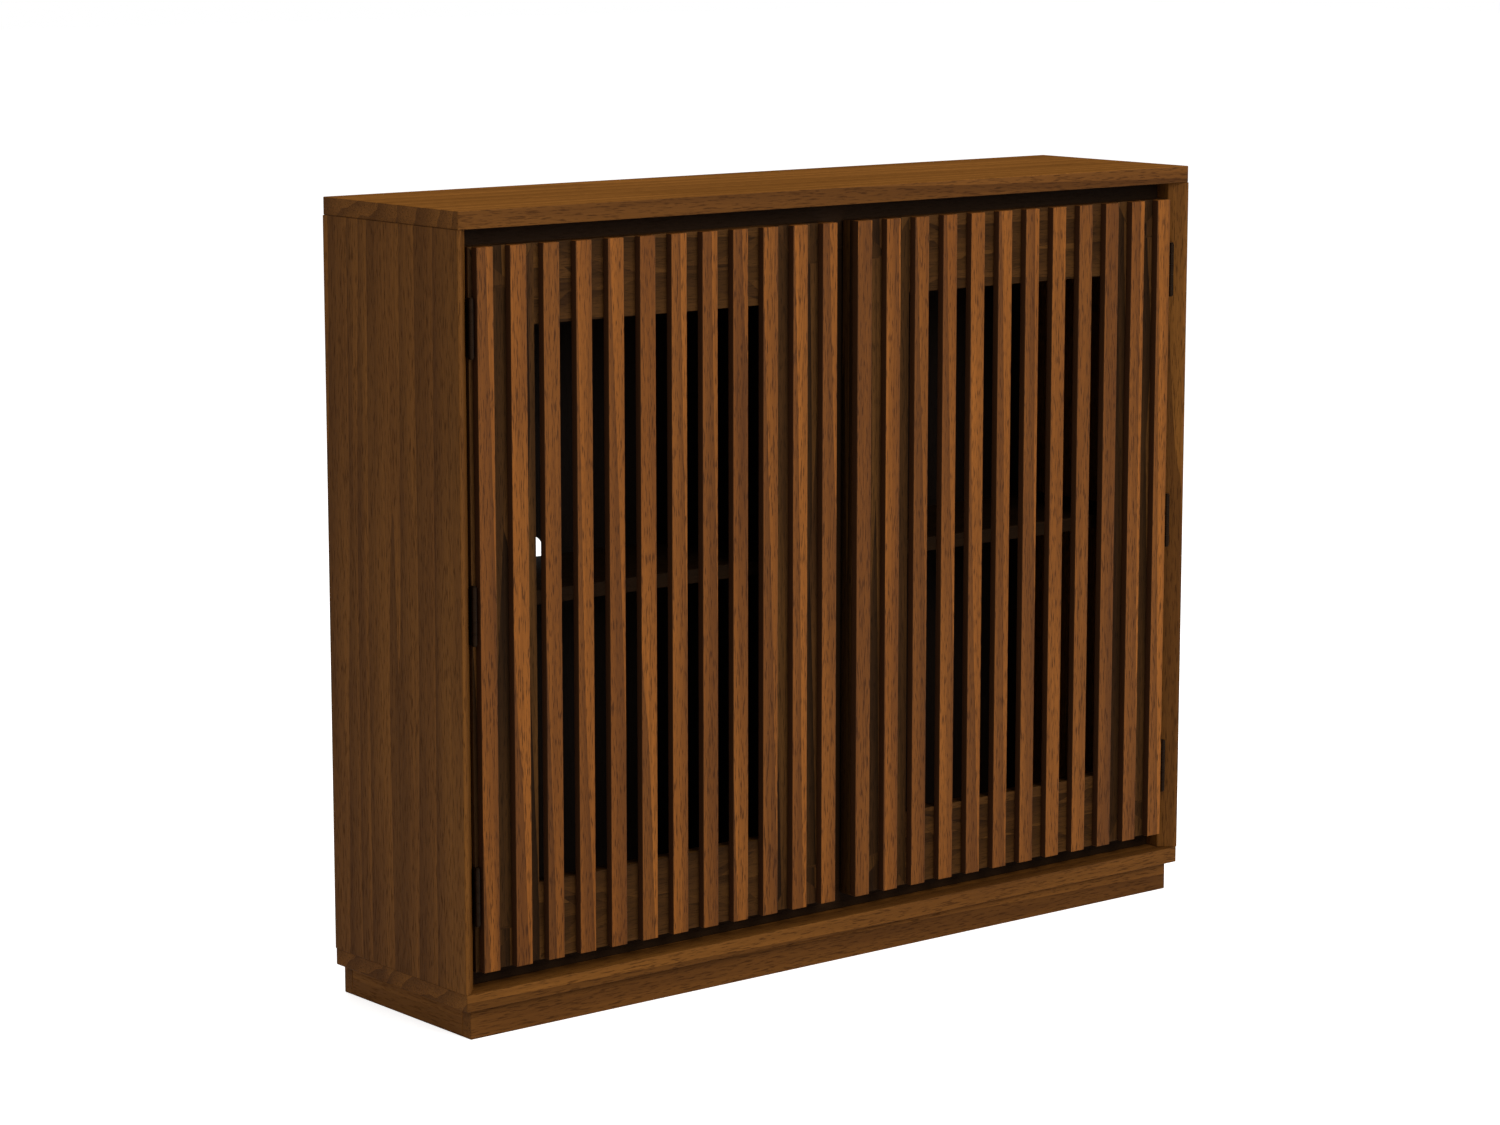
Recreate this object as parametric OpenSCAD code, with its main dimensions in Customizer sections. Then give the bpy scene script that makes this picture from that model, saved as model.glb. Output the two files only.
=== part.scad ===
// Slim shoe cabinet with two slatted doors, standing on a set-back plinth.
// Millimetres. Origin at the middle of the footprint on the floor, +Z up, the doors face -Y.

/* [Cabinet] */
// Width over the two side panels
cabinet_w = 1200; // [900:10:1600]
// Depth from the front edges of the boards to their back edges
cabinet_d = 285; // [230:5:420]
// Height from the floor to the top face
cabinet_h = 1000; // [800:10:1300]
// Thickness of the top board
top_t = 22; // [18:1:30]
// Thickness of the base board
base_t = 21; // [18:1:30]
// Thickness of each side panel
side_t = 22; // [18:1:30]
// How far each side panel stands past the ends of the top and base boards
side_proud = 1.2; // [0:0.1:3]
// Flat lip on the front edge of each side panel, outside its bevel
side_lip = 5; // [3:1:8]
// Thickness of the back panel
back_t = 5; // [3:1:8]
// How far the edges of the back panel reach into their rebates
back_rebate = 8; // [6:1:10]
// How far the back panel sits inside the back edges of the boards
back_inset = 1; // [0:0.5:5]

/* [Plinth] */
// Height of the plinth
plinth_h = 38; // [25:1:80]
// Thickness of the plinth boards
plinth_t = 18; // [12:1:24]
// How far the plinth is set back behind the front edges
plinth_front_inset = 10; // [0:1:40]
// How far the plinth is set in at each end
plinth_end_inset = 13; // [3:1:40]
// Width of each square corner block
block_w = 32; // [24:1:50]

/* [Face frame] */
// Height of the upper and lower rails
rail_h = 60; // [50:1:90]
// Width of the mullion between the doors
mullion_w = 60; // [56:1:90]
// Thickness of the rails and the mullion
rail_t = 18; // [17:1:25]

/* [Inside] */
// Thickness of the centre divider
divider_t = 18; // [18:1:25]
// Thickness of each shelf
shelf_t = 18; // [15:1:25]
// Height of the shelf tops above the base board
shelf_rise = 469; // [200:1:600]
// Gap in front of each shelf, behind the rails
shelf_front_gap = 5; // [2:1:40]
// Gap behind each shelf, in front of the back panel
shelf_back_gap = 15; // [2:1:40]
// Diameter of the shelf pins
shelf_pin_d = 5; // [4:0.5:6]
// Diameter of the vent hole behind each compartment
vent_d = 38; // [20:1:60]
// Height of the vent holes' centres above the shelf tops
vent_rise = 4; // [-60:1:60]

/* [Doors] */
// Gap above and below each door
door_end_gap = 22; // [3:1:35]
// Gap between each door's frame and its side panel
hinge_gap = 2.5; // [2.4:0.1:4]
// Gap between the free edges of the two doors
centre_gap = 34; // [20:1:36]
// Set-back of the slats' faces behind the front edges of the boards
door_setback = 4; // [2:0.5:8]
// Width of the door stiles
stile_w = 95; // [60:1:120]
// Height of the door rails
door_rail_h = 97; // [60:1:130]
// Thickness of the door frame
frame_t = 19; // [16:1:22]
// Number of slats on each door
slat_count = 12; // [8:1:14]
// Width of a slat
slat_w = 23.6; // [16:0.1:30]
// Thickness of a slat
slat_t = 10.5; // [10.5:0.5:14]
// Distance of the first slat from the hinge edge of the frame
slat_inset = 5.5; // [5:0.5:15]
// Length of the tenons on the door rails
tenon_l = 14; // [8:1:16]

/* [Hinges and catches] */
// Number of hinges on each door
hinge_count = 3; // [2:1:4]
// Height of a hinge
hinge_h = 70; // [50:5:90]
// Distance from a door's end to the middle of its nearest hinge
hinge_end = 95; // [60:1:150]
// Diameter of the hinge barrel
barrel_d = 7; // [6:0.5:7]
// Diameter of the hinge pin
pin_d = 3.5; // [2.5:0.1:4]
// Thickness of a hinge leaf
leaf_t = 1; // [0.8:0.1:1]
// Width of a hinge leaf behind its barrel
leaf_w = 20; // [14:1:21]
// Gap between the back of a door and the face frame
stop_gap = 3.5; // [2.5:0.1:6]
// Diameter of the catch magnets
magnet_d = 12; // [8:1:16]

/* [Hidden] */

$fn = 48;
// Cutters reach this far past the faces that they open
over = 1;
// Clearance between parts of a hinge, and between a catch and its strike plate
small_gap = 0.3;
// Radial running clearance of a door knuckle on its pin
pin_clear = 0.05;
// Clearance of the shelves and the back panel in their places
board_fit = 0.5;

// Levels and faces of the carcass
left_x = -cabinet_w / 2;
front_y = -cabinet_d / 2;
back_y = cabinet_d / 2;
inner_x = left_x + side_t;
floor_z = plinth_h + base_t;
ceiling_z = cabinet_h - top_t;
board_w = cabinet_w - 2 * side_proud;
back_panel_y = back_y - back_inset - back_t;

// Dowels between the upright panels and the top and base boards
dowel_d = 8;
dowel_half = 14;
dowel_edge = 60;

// Doors: frame, slats and the face frame that they close on
door_x = inner_x + hinge_gap;
door_w = -centre_gap / 2 - door_x;
door_z = floor_z + door_end_gap;
door_top_z = ceiling_z - door_end_gap;
door_h = door_top_z - door_z;
frame_y = front_y + door_setback + slat_t;
door_back_y = frame_y + frame_t;
rail_y = door_back_y + stop_gap;
divider_y = rail_y + rail_t;
slat_pitch = (door_w - slat_inset - slat_w) / (slat_count - 1);
tenon_h = door_rail_h - 37;
tenon_t = 7;

// Slat screws come from the back of the frame and stop inside the slats
slat_screw_d = 3.5;
slat_screw_l = frame_t + slat_t - 3.5;
hinge_screw_d = 3;
hinge_screw_l = 15;
back_screw_l = 18;
back_screw_rows = 5;
plinth_screw_d = 4;
plinth_screw_grip = 12;
block_lift = 2;

// Hinge axis, midway across the hinge gap and just in front of the door frame
barrel_room = 3;
axis_x = inner_x + hinge_gap / 2;
axis_y = frame_y - barrel_room - barrel_d / 2;
leaf_y = axis_y + barrel_d / 2 + small_gap;
knuckles = 5;
knuckle_h = hinge_h / knuckles;
hinge_pitch = (door_h - 2 * hinge_end) / (hinge_count - 1);

// Shelves and their pins
shelf_z = floor_z + shelf_rise - shelf_t;
shelf_y = divider_y + shelf_front_gap;
shelf_d = back_panel_y - shelf_back_gap - shelf_y;
shelf_w = -divider_t / 2 - inner_x - 2 * board_fit;
shelf_pin_in = 8;
shelf_pin_out = 8;
shelf_pin_edge = 35;
compartment_x = (inner_x - divider_t / 2) / 2;

// Catch at the free edge of each door, and the bumpers that stop it
catch_x = -centre_gap / 2 - 33;
catch_z = (ceiling_z - rail_h + door_top_z) / 2;
strike_t = 1.5;
magnet_proud = stop_gap - strike_t - small_gap;
magnet_l = 15;
bumper_d = 10;
bumper_t = stop_gap - small_gap;

// Finishes
walnut = "#7a4a24";
dark_wood = "#2a1b11";
steel = "#b9b4aa";
brass = "#a98a52";

module board(x, y, z, w, d, h) {
  translate([x, y, z]) cube([w, d, h]);
}

module mirrored() {
  mirror([1, 0, 0]) children();
}

// Countersunk screw with its head's face at the origin and its shank along +Z
module screw(d, head_d, length) {
  head_h = (head_d - d) / 2;
  cylinder(h = head_h, d1 = head_d, d2 = d);
  translate([0, 0, head_h]) cylinder(h = length - head_h, d = d);
}

/* ---- carcass ---- */

module dowels() {
  for (x = [left_x + side_t / 2, 0, -left_x - side_t / 2])
    for (y = [front_y + dowel_edge, back_y - dowel_edge])
      for (z = [floor_z, ceiling_z])
        translate([x, y, z - dowel_half]) cylinder(h = 2 * dowel_half, d = dowel_d);
}

module back_panel_blank(clear) {
  w = cabinet_w - 2 * side_t + 2 * back_rebate - 2 * clear;
  h = ceiling_z - floor_z + 2 * back_rebate - 2 * clear;
  board(-w / 2, back_panel_y, floor_z - back_rebate + clear, w, back_t, h);
}

// Space that the back panel's edges slide into, open at the back
module back_rebate_cut() {
  back_panel_blank(0);
  translate([0, back_inset + over, 0]) back_panel_blank(0);
}

module back_screws() {
  edge_x = inner_x - back_rebate / 2;
  rise = (ceiling_z - floor_z - 2 * dowel_edge) / (back_screw_rows - 1);
  for (x = [edge_x, 0, -edge_x])
    for (i = [0 : back_screw_rows - 1])
      translate([x, back_panel_y + back_t, floor_z + dowel_edge + i * rise])
        rotate([90, 0, 0]) screw(hinge_screw_d, 6, back_screw_l);
}

module top_board() color(walnut) difference() {
  board(-board_w / 2, front_y, ceiling_z, board_w, cabinet_d, top_t);
  back_rebate_cut();
  dowels();
}

module base_board() color(walnut) difference() {
  board(-board_w / 2, front_y, plinth_h, board_w, cabinet_d, base_t);
  back_rebate_cut();
  dowels();
  corner_screws();
}

// Plan outline of the left side panel: a flat lip, then a 45 degree bevel to the inner face
module side_outline() {
  bevel = side_t - side_lip;
  polygon([
    [left_x, front_y], [left_x + side_lip, front_y], [inner_x, front_y + bevel],
    [inner_x, back_y], [left_x, back_y]
  ]);
}

module side_panel() difference() {
  translate([0, 0, floor_z]) linear_extrude(ceiling_z - floor_z) side_outline();
  back_rebate_cut();
  dowels();
  back_screws();
  shelf_pin_row(inner_x - shelf_pin_in);
  left_cabinet_screws();
}

module left_side_panel() color(walnut) side_panel();

module right_side_panel() color(walnut) mirrored() side_panel();

module face_rail(z) {
  board(inner_x, rail_y, z, cabinet_w - 2 * side_t, rail_t, rail_h);
}

module upper_rail() color(dark_wood) difference() {
  face_rail(ceiling_z - rail_h);
  magnets();
}

module lower_rail() color(dark_wood) face_rail(floor_z);

module mullion() color(dark_wood)
  board(-mullion_w / 2, rail_y, floor_z + rail_h, mullion_w, rail_t, ceiling_z - floor_z - 2 * rail_h);

module centre_divider() color(dark_wood) difference() {
  board(-divider_t / 2, divider_y, floor_z, divider_t, back_panel_y - divider_y, ceiling_z - floor_z);
  dowels();
  back_screws();
  shelf_pin_row(-divider_t / 2 - shelf_pin_out);
  mirrored() shelf_pin_row(-divider_t / 2 - shelf_pin_out);
}

module back_panel() color(dark_wood) difference() {
  back_panel_blank(board_fit);
  back_screws();
  for (side = [-1, 1])
    translate([side * compartment_x, back_panel_y - over, shelf_z + shelf_t + vent_rise])
      rotate([-90, 0, 0]) cylinder(h = back_t + 2 * over, d = vent_d);
}

/* ---- shelves ---- */

// Two pins, front and back, that start at x and lie along +X under a shelf
module shelf_pin_row(x) {
  for (y = [shelf_y + shelf_pin_edge, shelf_y + shelf_d - shelf_pin_edge])
    translate([x, y, shelf_z - shelf_pin_d / 2])
      rotate([0, 90, 0]) cylinder(h = shelf_pin_in + shelf_pin_out, d = shelf_pin_d);
}

module shelf() board(inner_x + board_fit, shelf_y, shelf_z, shelf_w, shelf_d, shelf_t);

module left_shelf() color(dark_wood) shelf();

module right_shelf() color(dark_wood) mirrored() shelf();

module left_shelf_pins() {
  shelf_pin_row(inner_x - shelf_pin_in);
  shelf_pin_row(-divider_t / 2 - shelf_pin_out);
}

module shelf_pins() color(steel) {
  left_shelf_pins();
  mirrored() left_shelf_pins();
}

/* ---- plinth ---- */

plinth_x = left_x + plinth_end_inset;
plinth_w = cabinet_w - 2 * plinth_end_inset;
plinth_y = front_y + plinth_front_inset;
plinth_inner_y = plinth_y + plinth_t;
plinth_inner_d = back_y - plinth_t - plinth_inner_y;

module plinth_front() color(walnut) board(plinth_x, plinth_y, 0, plinth_w, plinth_t, plinth_h);

module plinth_back() color(walnut) board(plinth_x, back_y - plinth_t, 0, plinth_w, plinth_t, plinth_h);

module plinth_end() board(plinth_x, plinth_inner_y, 0, plinth_t, plinth_inner_d, plinth_h);

module left_plinth_end() color(walnut) plinth_end();

module right_plinth_end() color(walnut) mirrored() plinth_end();

// Puts its child at the middle of each corner block
module at_corner_blocks() {
  x = plinth_x + plinth_t + block_w / 2;
  for (side = [-1, 1])
    for (y = [plinth_inner_y + block_w / 2, plinth_inner_y + plinth_inner_d - block_w / 2])
      translate([side * x, y, block_lift]) children();
}

module corner_screws() {
  at_corner_blocks() screw(plinth_screw_d, 8, plinth_h - block_lift + plinth_screw_grip);
}

module plinth_corner_blocks() color(walnut) difference() {
  at_corner_blocks() board(-block_w / 2, -block_w / 2, 0, block_w, block_w, plinth_h - block_lift);
  corner_screws();
}

module plinth_screws() color(steel) corner_screws();

module panel_dowels() color("#c9a778") dowels();

module back_panel_screws() color(steel) back_screws();

/* ---- hinges: all built for the left door ---- */

// Puts its child at the bottom of each hinge, on the hinge axis
module at_hinges() {
  for (i = [0 : hinge_count - 1])
    translate([axis_x, axis_y, door_z + hinge_end + i * hinge_pitch - hinge_h / 2]) children();
}

// One leaf: a plate at x beside the axis, with the knuckles numbered first, first + 2 ... up to last
module leaf(x, first, last, bore_d) {
  difference() {
    union() {
      board(x, leaf_y - axis_y, 0, leaf_t, leaf_w, hinge_h);
      for (k = [first : 2 : last])
        translate([0, 0, k * knuckle_h + small_gap / 2]) {
          cylinder(h = knuckle_h - small_gap, d = barrel_d);
          board(x, 0, 0, leaf_t, leaf_y - axis_y, knuckle_h - small_gap);
        }
    }
    translate([0, 0, -over]) cylinder(h = hinge_h + 2 * over, d = bore_d);
  }
}

// Three screws up the middle of each leaf, heads at x from the axis, pointing along +X or -X
module leaf_screws(x, turn) {
  at_hinges()
    for (k = [0.5, 2.5, 4.5])
      translate([x, leaf_y - axis_y + leaf_w / 2, k * knuckle_h])
        rotate([0, turn, 0]) screw(hinge_screw_d, hinge_screw_d + 2 * leaf_t, hinge_screw_l);
}

module left_cabinet_screws() leaf_screws(leaf_t - hinge_gap / 2, -90);

module left_door_screws() leaf_screws(hinge_gap / 2 - leaf_t, 90);

module cabinet_leaves() difference() {
  at_hinges() leaf(-hinge_gap / 2, 0, knuckles - 1, pin_d);
  left_cabinet_screws();
}

module door_leaves() difference() {
  at_hinges() leaf(hinge_gap / 2 - leaf_t, 1, knuckles - 2, pin_d + 2 * pin_clear);
  left_door_screws();
}

module hinge_pins() {
  tip_h = 1.5;
  at_hinges() {
    cylinder(h = hinge_h, d = pin_d);
    for (z = [small_gap / 2 - tip_h, hinge_h - small_gap / 2])
      translate([0, 0, z]) cylinder(h = tip_h, d = barrel_d - 1.5);
  }
}

module left_cabinet_hinge_leaves() color(brass) cabinet_leaves();

module right_cabinet_hinge_leaves() color(brass) mirrored() cabinet_leaves();

module left_hinge_pins() color(brass) hinge_pins();

module right_hinge_pins() color(brass) mirrored() hinge_pins();

module cabinet_hinge_screws() color(brass) {
  left_cabinet_screws();
  mirrored() left_cabinet_screws();
}

/* ---- doors: built as the left one, the right one mirrored ---- */

function slat_x(i) = door_x + slat_inset + i * slat_pitch;

module slat_screws() {
  for (i = [0 : slat_count - 1])
    for (z = [door_z + door_rail_h / 2, door_top_z - door_rail_h / 2])
      translate([slat_x(i) + slat_w / 2, door_back_y, z])
        rotate([90, 0, 0]) screw(slat_screw_d, 2 * slat_screw_d, slat_screw_l);
}

// Rail of a door with a tenon on each end, whose lower edge is at z
module door_rail(z) {
  rail_w = door_w - 2 * stile_w;
  x = door_x + stile_w;
  board(x, frame_y, z, rail_w, frame_t, door_rail_h);
  board(
    x - tenon_l, frame_y + (frame_t - tenon_t) / 2, z + (door_rail_h - tenon_h) / 2,
    rail_w + 2 * tenon_l, tenon_t, tenon_h
  );
}

module door_rails() {
  door_rail(door_z);
  door_rail(door_top_z - door_rail_h);
}

module outer_stile() difference() {
  board(door_x, frame_y, door_z, stile_w, frame_t, door_h);
  door_rails();
  slat_screws();
  left_door_screws();
}

module inner_stile() difference() {
  board(door_x + door_w - stile_w, frame_y, door_z, stile_w, frame_t, door_h);
  door_rails();
  slat_screws();
}

module top_rail() difference() {
  door_rail(door_top_z - door_rail_h);
  slat_screws();
}

module bottom_rail() difference() {
  door_rail(door_z);
  slat_screws();
}

module slats() difference() {
  for (i = [0 : slat_count - 1])
    board(slat_x(i), frame_y - slat_t, door_z, slat_w, slat_t, door_h);
  slat_screws();
}

module bumpers() {
  mullion_x = -(mullion_w + centre_gap) / 4;
  lower_z = (floor_z + rail_h + door_z) / 2;
  for (p = [[catch_x, lower_z], [mullion_x, (door_z + door_top_z) / 2]])
    translate([p[0], door_back_y, p[1]]) rotate([-90, 0, 0]) cylinder(h = bumper_t, d = bumper_d);
}

module strike_plate() {
  translate([catch_x, door_back_y, catch_z])
    rotate([-90, 0, 0]) cylinder(h = strike_t, d = magnet_d + 4);
}

module magnets() {
  for (side = [-1, 1])
    translate([side * catch_x, rail_y - magnet_proud, catch_z])
      rotate([-90, 0, 0]) cylinder(h = magnet_l, d = magnet_d);
}

module catch_magnets() color(steel) magnets();

module left_door_outer_stile() color(walnut) outer_stile();
module left_door_inner_stile() color(walnut) inner_stile();
module left_door_top_rail() color(walnut) top_rail();
module left_door_bottom_rail() color(walnut) bottom_rail();
module left_door_slats() color(walnut) slats();
module left_door_slat_screws() color(steel) slat_screws();
module left_door_hinge_leaves() color(brass) door_leaves();
module left_door_hinge_screws() color(brass) left_door_screws();
module left_door_bumpers() color(dark_wood) bumpers();
module left_door_strike_plate() color(steel) strike_plate();

module right_door_outer_stile() color(walnut) mirrored() outer_stile();
module right_door_inner_stile() color(walnut) mirrored() inner_stile();
module right_door_top_rail() color(walnut) mirrored() top_rail();
module right_door_bottom_rail() color(walnut) mirrored() bottom_rail();
module right_door_slats() color(walnut) mirrored() slats();
module right_door_slat_screws() color(steel) mirrored() slat_screws();
module right_door_hinge_leaves() color(brass) mirrored() door_leaves();
module right_door_hinge_screws() color(brass) mirrored() left_door_screws();
module right_door_bumpers() color(dark_wood) mirrored() bumpers();
module right_door_strike_plate() color(steel) mirrored() strike_plate();

top_board();
base_board();
left_side_panel();
right_side_panel();
upper_rail();
lower_rail();
mullion();
centre_divider();
back_panel();
left_shelf();
right_shelf();
shelf_pins();
plinth_front();
plinth_back();
left_plinth_end();
right_plinth_end();
plinth_corner_blocks();
plinth_screws();
panel_dowels();
back_panel_screws();
catch_magnets();
left_cabinet_hinge_leaves();
right_cabinet_hinge_leaves();
left_hinge_pins();
right_hinge_pins();
cabinet_hinge_screws();
left_door_outer_stile();
left_door_inner_stile();
left_door_top_rail();
left_door_bottom_rail();
left_door_slats();
left_door_slat_screws();
left_door_hinge_leaves();
left_door_hinge_screws();
left_door_bumpers();
left_door_strike_plate();
right_door_outer_stile();
right_door_inner_stile();
right_door_top_rail();
right_door_bottom_rail();
right_door_slats();
right_door_slat_screws();
right_door_hinge_leaves();
right_door_hinge_screws();
right_door_bumpers();
right_door_strike_plate();
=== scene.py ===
"""Slim walnut-brown shoe cabinet with two slatted doors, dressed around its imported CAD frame."""

import math

import bmesh
import bpy
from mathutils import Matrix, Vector


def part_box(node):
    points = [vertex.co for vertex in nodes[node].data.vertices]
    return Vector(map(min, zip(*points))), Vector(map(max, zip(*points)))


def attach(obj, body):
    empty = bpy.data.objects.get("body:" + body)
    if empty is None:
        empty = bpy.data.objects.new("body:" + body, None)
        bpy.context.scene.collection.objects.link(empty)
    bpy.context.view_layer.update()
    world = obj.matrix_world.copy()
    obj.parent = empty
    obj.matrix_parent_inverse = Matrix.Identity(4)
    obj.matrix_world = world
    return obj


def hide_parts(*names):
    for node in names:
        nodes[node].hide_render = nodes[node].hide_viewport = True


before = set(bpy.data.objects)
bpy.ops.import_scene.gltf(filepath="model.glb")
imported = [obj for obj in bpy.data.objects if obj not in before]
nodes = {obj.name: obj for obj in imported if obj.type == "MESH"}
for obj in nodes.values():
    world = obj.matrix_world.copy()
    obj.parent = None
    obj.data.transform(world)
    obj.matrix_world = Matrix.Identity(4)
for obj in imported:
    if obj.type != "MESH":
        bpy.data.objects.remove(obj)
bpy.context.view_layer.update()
MM = 0.001


# ---- small helpers -------------------------------------------------------------------------

def linear(hex_colour):
    """An sRGB hex colour as linear RGBA."""
    channels = [int(hex_colour[i:i + 2], 16) / 255 for i in (1, 3, 5)]
    return tuple(c / 12.92 if c <= 0.04045 else ((c + 0.055) / 1.055) ** 2.4 for c in channels) + (1.0,)


def add(tree, kind, sockets=None, **settings):
    """Adds a node to a material, with its settings, and fills its sockets with links or values."""
    node = tree.nodes.new(kind)
    for name, value in settings.items():
        setattr(node, name, value)
    for key, value in (sockets or {}).items():
        if isinstance(value, bpy.types.NodeSocket):
            tree.links.new(value, node.inputs[key])
        else:
            node.inputs[key].default_value = value
    return node


def new_material(name, roughness, metallic=0.0, coat=0.0, coat_roughness=0.3, specular=0.5):
    """A material whose shader holds its constant values on its own sockets."""
    material = bpy.data.materials.new(name)
    material.use_nodes = True
    shader = material.node_tree.nodes["Principled BSDF"]
    shader.inputs["Roughness"].default_value = roughness
    shader.inputs["Metallic"].default_value = metallic
    shader.inputs["Coat Weight"].default_value = coat
    shader.inputs["Coat Roughness"].default_value = coat_roughness
    shader.inputs["Specular IOR Level"].default_value = specular
    return material, material.node_tree, shader


# ---- materials -----------------------------------------------------------------------------

# Real sizes of the wood's figure in millimetres, each as (across the grain, along the grain)
TONE_MM = (70, 600)
BAND_MM = (17, 640)
STREAK_MM = (4.5, 190)
# Open pores are about 0.3 mm wide and 5 mm long, too fine to show, so they are drawn coarser
PORE_MM = (1.5, 17)


def stained_wood(name, pale, mid, dark, along, roughness=0.55, coat=0.0, figure=0.5, pores=0.5,
                 vary=0.0, side_stain_and_painted_shade=None, specular=0.05):
    """Open-grained veneer, stained and lacquered, with its grain along X, Y or Z.

    figure and pores say how strongly the growth bands and the pores show, and vary how far one
    strip's tone may stand from the next. The side colour paints faces that look along X darker:
    partly a darker stain, partly painted shade for the shade between neighbouring slats.
    """
    material, tree, shader = new_material(name, roughness, coat=coat, specular=specular)
    place = add(tree, "ShaderNodeTexCoord").outputs["Object"]
    geometry = add(tree, "ShaderNodeNewGeometry")
    strip = geometry.outputs["Random Per Island"]
    # Each island of one mesh, such as each slat, is cut from another place in the log
    log = add(tree, "ShaderNodeVectorMath", {0: strip, 1: (3.1, 1.7, 5.3), 2: place},
              operation="MULTIPLY_ADD").outputs[0]

    def grain_space(size_mm):
        across, lengthways = (1 / (size * MM) for size in size_mm)
        scale = [lengthways if axis == along else across for axis in "XYZ"]
        return add(tree, "ShaderNodeVectorMath", {0: log, 1: scale}, operation="MULTIPLY").outputs[0]

    def noise(size_mm, detail, distortion=0.0):
        sockets = {"Vector": grain_space(size_mm), "Scale": 1.0, "Detail": detail, "Distortion": distortion}
        return add(tree, "ShaderNodeTexNoise", sockets).outputs["Fac"]

    def spread(value, low, high, out_low=0.0, out_high=1.0):
        sockets = {"Value": value, "From Min": low, "From Max": high, "To Min": out_low, "To Max": out_high}
        return add(tree, "ShaderNodeMapRange", sockets).outputs["Result"]

    def mixed(amount, first, second):
        sockets = {"Factor": amount, 6: first, 7: second}
        return add(tree, "ShaderNodeMix", sockets, data_type="RGBA").outputs[2]

    tone = spread(noise(TONE_MM, 3, 0.4), 0.3, 0.7)
    bands = add(tree, "ShaderNodeTexWave", {
        "Vector": grain_space(BAND_MM), "Scale": 0.25, "Distortion": 13.0, "Detail": 3.0, "Detail Scale": 0.5,
    }, wave_type="BANDS", bands_direction="DIAGONAL", wave_profile="SAW").outputs["Fac"]
    streaks = spread(noise(STREAK_MM, 4), 0.36, 0.66)
    pore = spread(noise(PORE_MM, 2), 0.53, 0.66)

    colour = mixed(tone, linear(mid), linear(pale))
    colour = mixed(spread(bands, 0.0, 1.0, 0.0, figure), colour, linear(dark))
    colour = mixed(spread(streaks, 0.0, 1.0, 0.45 * figure, 0.0), colour, linear(dark))
    colour = mixed(spread(pore, 0.0, 1.0, 0.0, pores), colour, linear(dark))
    value = spread(strip, 0.0, 1.0, 1 - vary, 1 + vary)
    colour = add(tree, "ShaderNodeHueSaturation", {"Value": value, "Color": colour}).outputs["Color"]
    # Painted shade: faces that look along X, the slats' sides, take a darker colour, partly a darker stain and
    # partly standing in for the shade between neighbouring slats
    if side_stain_and_painted_shade:
        normal = add(tree, "ShaderNodeTexCoord").outputs["Normal"]
        sideways = add(tree, "ShaderNodeSeparateXYZ", {0: normal}).outputs["X"]
        painted_shade_sides = add(tree, "ShaderNodeMath", {0: sideways}, operation="ABSOLUTE").outputs[0]
        colour = mixed(spread(painted_shade_sides, 0.55, 0.95), colour, linear(side_stain_and_painted_shade))
    tree.links.new(colour, shader.inputs["Base Color"])
    tree.links.new(spread(pore, 0.0, 1.0, roughness, roughness + 0.18), shader.inputs["Roughness"])

    height = add(tree, "ShaderNodeMath", {0: spread(streaks, 0.0, 1.0, 0.0, 0.35),
                                          1: spread(pore, 0.0, 1.0, 1.0, 0.0)}, operation="ADD").outputs[0]
    bump = add(tree, "ShaderNodeBump", {"Height": height, "Strength": 0.35, "Distance": 0.25 * MM})
    tree.links.new(bump.outputs["Normal"], shader.inputs["Normal"])
    return material


def brushed_metal(name, base, worn, roughness, along="Z"):
    """A metal with fine brushing lines along one axis and slightly uneven tarnish."""
    material, tree, shader = new_material(name, roughness, metallic=1.0)
    place = add(tree, "ShaderNodeTexCoord").outputs["Object"]
    # Brushing lines 0.4 mm apart and 15 mm long; blotches of tarnish about 9 mm wide
    scale = [1 / (15 * MM) if axis == along else 1 / (0.4 * MM) for axis in "XYZ"]
    lines_at = add(tree, "ShaderNodeVectorMath", {0: place, 1: scale}, operation="MULTIPLY").outputs[0]
    lines = add(tree, "ShaderNodeTexNoise", {"Vector": lines_at, "Scale": 1.0, "Detail": 2.0}).outputs["Fac"]
    blotch = add(tree, "ShaderNodeTexNoise", {"Vector": place, "Scale": 1 / (9 * MM), "Detail": 3.0}).outputs["Fac"]
    colour = add(tree, "ShaderNodeMix", {"Factor": blotch, 6: linear(base), 7: linear(worn)}, data_type="RGBA")
    tree.links.new(colour.outputs[2], shader.inputs["Base Color"])
    uneven = add(tree, "ShaderNodeMapRange", {
        "Value": lines, "From Min": 0.3, "From Max": 0.7, "To Min": roughness - 0.08, "To Max": roughness + 0.1})
    tree.links.new(uneven.outputs["Result"], shader.inputs["Roughness"])
    bump = add(tree, "ShaderNodeBump", {"Height": lines, "Strength": 0.25, "Distance": 0.02 * MM})
    tree.links.new(bump.outputs["Normal"], shader.inputs["Normal"])
    return material


def moulded_rubber(name, base):
    """Soft rubber with a fine matt grain, 0.6 mm across."""
    material, tree, shader = new_material(name, 0.8)
    place = add(tree, "ShaderNodeTexCoord").outputs["Object"]
    grain = add(tree, "ShaderNodeTexNoise", {"Vector": place, "Scale": 1 / (0.6 * MM), "Detail": 2.0}).outputs["Fac"]
    pale = tuple(min(1.0, c * 1.6) for c in linear(base)[:3]) + (1.0,)
    colour = add(tree, "ShaderNodeMix", {"Factor": grain, 6: linear(base), 7: pale}, data_type="RGBA")
    tree.links.new(colour.outputs[2], shader.inputs["Base Color"])
    bump = add(tree, "ShaderNodeBump", {"Height": grain, "Strength": 0.3, "Distance": 0.05 * MM})
    tree.links.new(bump.outputs["Normal"], shader.inputs["Normal"])
    return material


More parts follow.
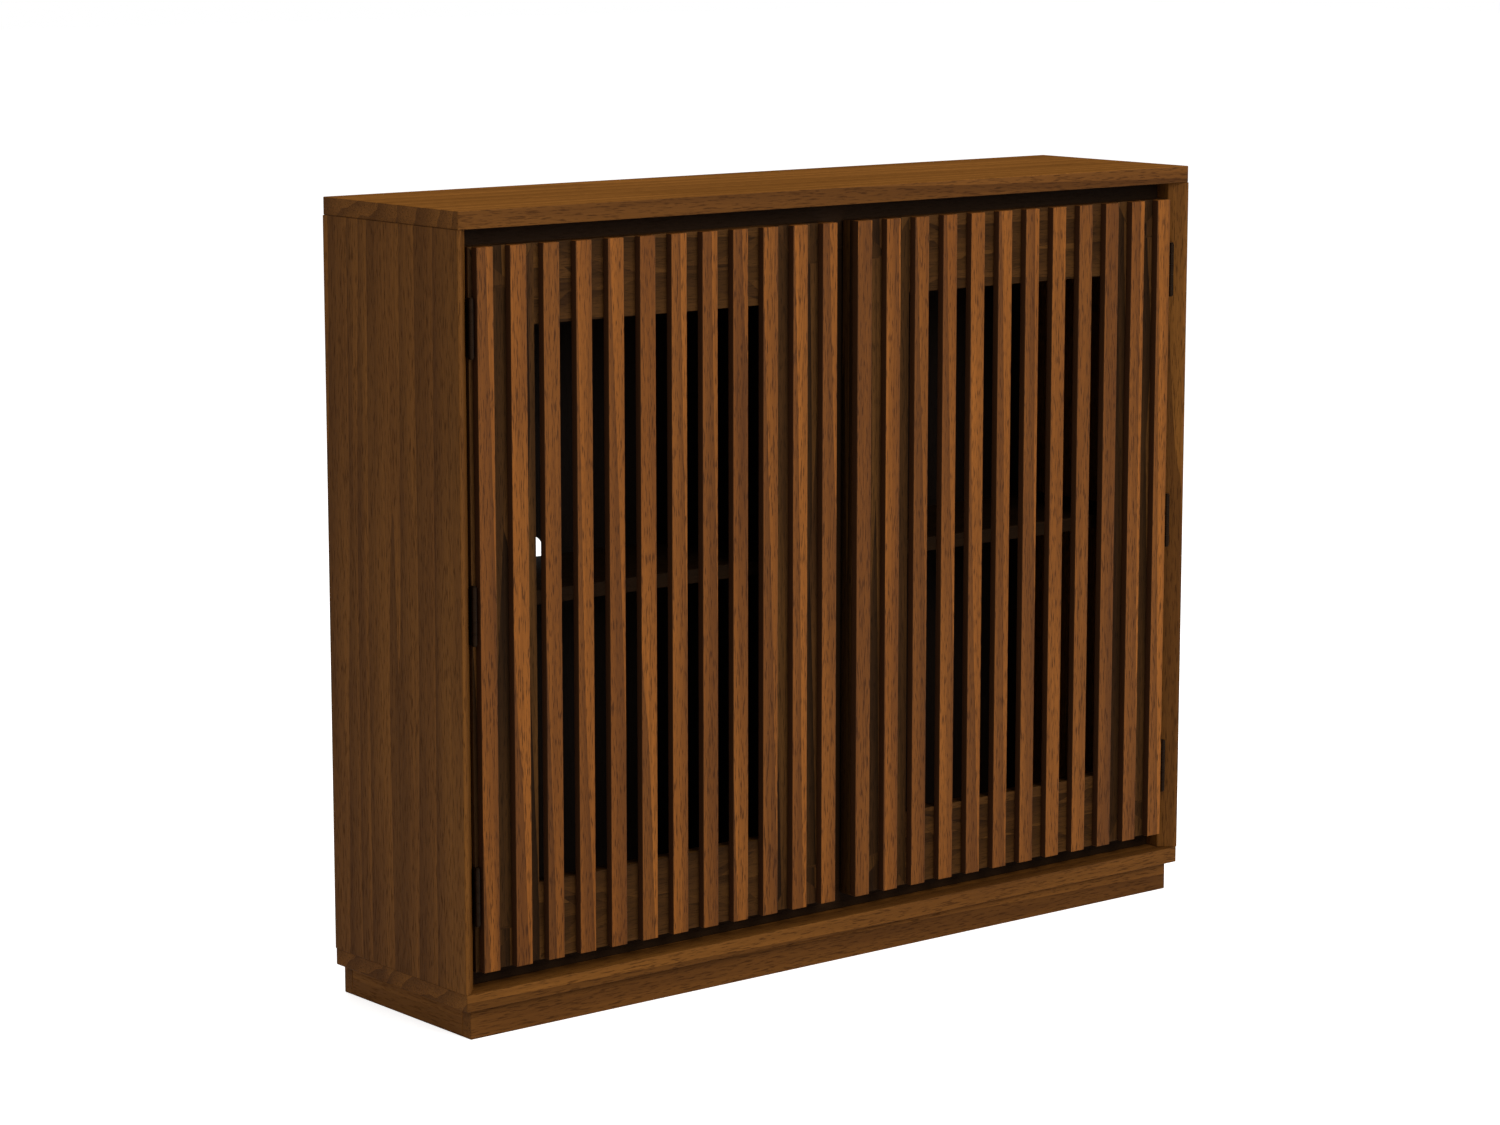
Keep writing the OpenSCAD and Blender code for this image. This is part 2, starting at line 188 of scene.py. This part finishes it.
# Ash veneer under walnut-brown stain and satin lacquer: warm brown, with fine darker streaks
BODY = {"pale": "#7d4f1f", "mid": "#633c17", "dark": "#2c1606"}
side_veneer = stained_wood("walnut_stained_veneer_upright", along="Z", figure=0.5, pores=0.6, **BODY)
board_veneer = stained_wood("walnut_stained_veneer_lengthways", along="X", figure=0.5, pores=0.6, **BODY)
# The upper face of the top takes a lighter copy of the same stain, and its finish lies flat and matt
top_veneer = stained_wood("walnut_stained_veneer_top", pale="#96612b", mid="#7e5021", dark="#43260e", along="X",
                          figure=0.42, pores=0.5, specular=0.0)
end_veneer = stained_wood("walnut_stained_veneer_crossways", along="Y", figure=0.25, pores=0.42, **BODY)
# Solid slats, the same stain wiped thinner on their faces, so each shows its own tone; their sides are painted
# darker, partly a darker stain and partly painted shade between slats
slat_wood = stained_wood("walnut_stained_solid_slat", pale="#93571d", mid="#784413", dark="#341a06", along="Z",
                         roughness=0.5, figure=0.6, pores=0.75, vary=0.13, side_stain_and_painted_shade="#3a2110", specular=0.12)
# Door frames take more stain: darker, with the growth bands standing out
FRAME = {"pale": "#5c3b19", "mid": "#3c2410", "dark": "#120903"}
stile_wood = stained_wood("dark_walnut_frame_upright", along="Z", figure=0.85, pores=0.55, vary=0.1, **FRAME)
rail_wood = stained_wood("dark_walnut_frame_lengthways", along="X", figure=0.6, pores=0.4, vary=0.1, **FRAME)
# Face frame and inside: a nearly black brown stain, smooth and satin
DEEP = {"pale": "#2c1b0c", "mid": "#211408", "dark": "#120a04"}
deep_upright = stained_wood("espresso_stain_upright", along="Z", figure=0.3, pores=0.25, **DEEP)
deep_lengthways = stained_wood("espresso_stain_lengthways", along="X", figure=0.3, pores=0.25, **DEEP)
inside_board = stained_wood("espresso_melamine_inside", pale="#1d130b", mid="#150d08", dark="#0b0704", along="Z",
                            figure=0.2, pores=0.15, roughness=0.6, coat=0.0, specular=0.1)
# Beech dowels are bare and pale
beech = stained_wood("bare_beech", pale="#d3ab7c", mid="#c79c6b", dark="#a87b4d", along="Z", figure=0.2,
                     pores=0.3, roughness=0.65, coat=0.0)
# Dark bronzed hinges, zinc-plated screws, pins and magnets
bronze = brushed_metal("dark_bronzed_steel", "#2e2117", "#1d140d", 0.5)
zinc = brushed_metal("zinc_plated_steel", "#b9b7b0", "#9b9a95", 0.34, along="X")
rubber = moulded_rubber("black_rubber", "#171513")


# ---- pieces --------------------------------------------------------------------------------

# Radius of the eased arrises on boards, and the finer one on slats
BOARD_EASE = 1.1 * MM
SLAT_EASE = 0.9 * MM
EASE_STEPS = 3


def finish_mesh(name, mesh, material, ease):
    """Turns a bmesh of closed prisms into an object with eased arrises, still without its body."""
    bmesh.ops.recalc_face_normals(mesh, faces=mesh.faces)
    bmesh.ops.bevel(mesh, geom=list(mesh.edges), offset=ease, segments=EASE_STEPS, profile=0.5,
                    affect="EDGES", clamp_overlap=True)
    data = bpy.data.meshes.new(name)
    mesh.to_mesh(data)
    mesh.free()
    for polygon in data.polygons:
        polygon.use_smooth = True
    data.set_sharp_from_angle(angle=math.radians(40))
    data.materials.append(material)
    piece = bpy.data.objects.new(name, data)
    bpy.context.scene.collection.objects.link(piece)
    weighted = piece.modifiers.new("even_shading", "WEIGHTED_NORMAL")
    weighted.keep_sharp = True
    return piece


def add_prism(mesh, outline, low_z, high_z):
    """Adds a closed upright prism over a plan outline."""
    rings = [[mesh.verts.new((x, y, z)) for x, y in outline] for z in (low_z, high_z)]
    mesh.faces.new(reversed(rings[0]))
    mesh.faces.new(rings[1])
    for i in range(len(outline)):
        k = (i + 1) % len(outline)
        mesh.faces.new((rings[0][i], rings[0][k], rings[1][k], rings[1][i]))


def add_block(mesh, low, high):
    """Adds a closed box between two corners."""
    outline = [(low[0], low[1]), (high[0], low[1]), (high[0], high[1]), (low[0], high[1])]
    add_prism(mesh, outline, low[2], high[2])


def seat(piece, body, node):
    """The piece stands for a CAD node: it rides with its body and the CAD node is hidden."""
    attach(piece, body)
    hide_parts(node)


def eased_board(node, material, upper=None):
    """A board with eased arrises in the place of a CAD board, its upper face finished apart if asked."""
    mesh = bmesh.new()
    add_block(mesh, *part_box(node))
    piece = finish_mesh(node + "_eased", mesh, material, BOARD_EASE)
    if upper:
        piece.data.materials.append(upper)
        for polygon in piece.data.polygons:
            polygon.material_index = int(polygon.normal.z > 0.7)
    seat(piece, "cabinet", node)


def side_panel(node, outward):
    """A side panel: flat lip, 45 degree bevel at the front, rebate for the back panel."""
    low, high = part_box(node)
    back_low, back_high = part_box("back_panel")
    outer_x, inner_x = (low[0], high[0]) if outward < 0 else (high[0], low[0])
    lip = 5 * MM
    bevel = abs(inner_x - outer_x) - lip
    rebate = 8 * MM
    front_y, back_y = low[1], high[1]
    outline = [
        (outer_x, front_y),
        (outer_x - outward * lip, front_y),
        (inner_x, front_y + bevel),
        (inner_x, back_low[1]),
        (inner_x + outward * rebate, back_low[1]),
        (inner_x + outward * rebate, back_y),
        (outer_x, back_y),
    ]
    mesh = bmesh.new()
    add_prism(mesh, outline if outward < 0 else outline[::-1], low[2], high[2])
    seat(finish_mesh(node + "_eased", mesh, side_veneer, BOARD_EASE), "cabinet", node)


def slats(node, body):
    """The row of slats on one door, each with its own eased arrises."""
    low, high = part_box(node)
    count = 12
    width = 23.6 * MM
    pitch = (high[0] - low[0] - width) / (count - 1)
    mesh = bmesh.new()
    for i in range(count):
        x = low[0] + i * pitch
        add_block(mesh, (x, low[1], low[2]), (x + width, high[1], high[2]))
    seat(finish_mesh(node + "_eased", mesh, slat_wood, SLAT_EASE), body, node)


def dress(material, *names):
    """Gives CAD nodes that keep their own shape a better material."""
    for name in names:
        data = nodes[name].data
        data.materials.clear()
        data.materials.append(material)


eased_board("top_board", board_veneer, upper=top_veneer)
eased_board("base_board", board_veneer)
eased_board("plinth_front", board_veneer)
eased_board("plinth_back", board_veneer)
eased_board("left_plinth_end", end_veneer)
eased_board("right_plinth_end", end_veneer)
eased_board("upper_rail", deep_lengthways)
eased_board("lower_rail", deep_lengthways)
eased_board("mullion", deep_upright)
eased_board("left_shelf", deep_lengthways)
eased_board("right_shelf", deep_lengthways)
side_panel("left_side_panel", -1)
side_panel("right_side_panel", 1)
dress(inside_board, "back_panel", "centre_divider")
dress(end_veneer, "plinth_corner_blocks")
dress(beech, "panel_dowels")
dress(zinc, "shelf_pins", "plinth_screws", "back_panel_screws", "catch_magnets")
dress(bronze, "left_cabinet_hinge_leaves", "right_cabinet_hinge_leaves", "left_hinge_pins",
      "right_hinge_pins", "cabinet_hinge_screws")
for side in ("left", "right"):
    door = side + "_door"
    slats(door + "_slats", door)
    dress(stile_wood, door + "_outer_stile", door + "_inner_stile")
    dress(rail_wood, door + "_top_rail", door + "_bottom_rail")
    dress(zinc, door + "_slat_screws", door + "_strike_plate")
    dress(bronze, door + "_hinge_leaves", door + "_hinge_screws")
    dress(rubber, door + "_bumpers")


# ---- floor, light and camera ---------------------------------------------------------------

def studio_floor():
    """A large pale floor that reads white; its lift to the camera washes out the shadow at the plinth."""
    size = 30
    data = bpy.data.meshes.new("floor")
    corners = [(-size, -size, 0), (size, -size, 0), (size, size, 0), (-size, size, 0)]
    data.from_pydata(corners, [], [(0, 1, 2, 3)])
    floor = bpy.data.objects.new("floor", data)
    bpy.context.scene.collection.objects.link(floor)
    material, tree, shader = new_material("white_studio_floor", 0.9, specular=0.1)
    shader.inputs["Base Color"].default_value = linear("#f4f3f1")
    shader.inputs["Emission Color"].default_value = (1, 1, 1, 1)
    path = add(tree, "ShaderNodeLightPath")
    lift = add(tree, "ShaderNodeMath", {0: path.outputs["Is Camera Ray"], 1: 0.7}, operation="MULTIPLY")
    tree.links.new(lift.outputs[0], shader.inputs["Emission Strength"])
    data.materials.append(material)


def soft_lamp(name, place, target, size, power):
    """A large square lamp, aimed at a point."""
    data = bpy.data.lights.new(name, "AREA")
    data.size = size
    data.energy = power
    lamp = bpy.data.objects.new(name, data)
    lamp.location = place
    lamp.rotation_euler = (Vector(target) - Vector(place)).to_track_quat("-Z", "Y").to_euler()
    bpy.context.scene.collection.objects.link(lamp)


def studio_world(light, seen=1.0):
    """An even white world: dim as light and in reflections, white to the camera."""
    world = bpy.data.worlds.new("white_studio")
    world.use_nodes = True
    tree = world.node_tree
    background = tree.nodes["Background"]
    background.inputs["Color"].default_value = (1, 1, 1, 1)
    path = add(tree, "ShaderNodeLightPath")
    strength = add(tree, "ShaderNodeMapRange", {
        "Value": path.outputs["Is Camera Ray"], "To Min": light, "To Max": seen})
    tree.links.new(strength.outputs["Result"], background.inputs["Strength"])
    bpy.context.scene.world = world


def studio_camera():
    """Looks down at the front and the left side from about 5 m away."""
    data = bpy.data.cameras.new("camera")
    data.lens = 96.2
    data.sensor_width = 36
    camera = bpy.data.objects.new("camera", data)
    camera.location = (-3.270, -3.967, 1.377)
    heading, tilt = 39.1, -9.64
    camera.rotation_euler = (math.radians(90 + tilt), 0, -math.radians(heading))
    bpy.context.scene.collection.objects.link(camera)
    bpy.context.scene.camera = camera


studio_floor()
studio_world(light=0.42)
middle = (0, 0, 0.5)
soft_lamp("key", (0.4, -3.7, 2.6), middle, 2.2, 105)
soft_lamp("fill", (-3.6, -1.6, 2.4), middle, 2.4, 22)
soft_lamp("right_fill", (3.6, -0.6, 2.2), middle, 2.4, 24)
soft_lamp("back_fill", (1.0, 2.6, 4.6), middle, 2.4, 60)
studio_camera()
bpy.context.scene.view_settings.view_transform = "Standard"
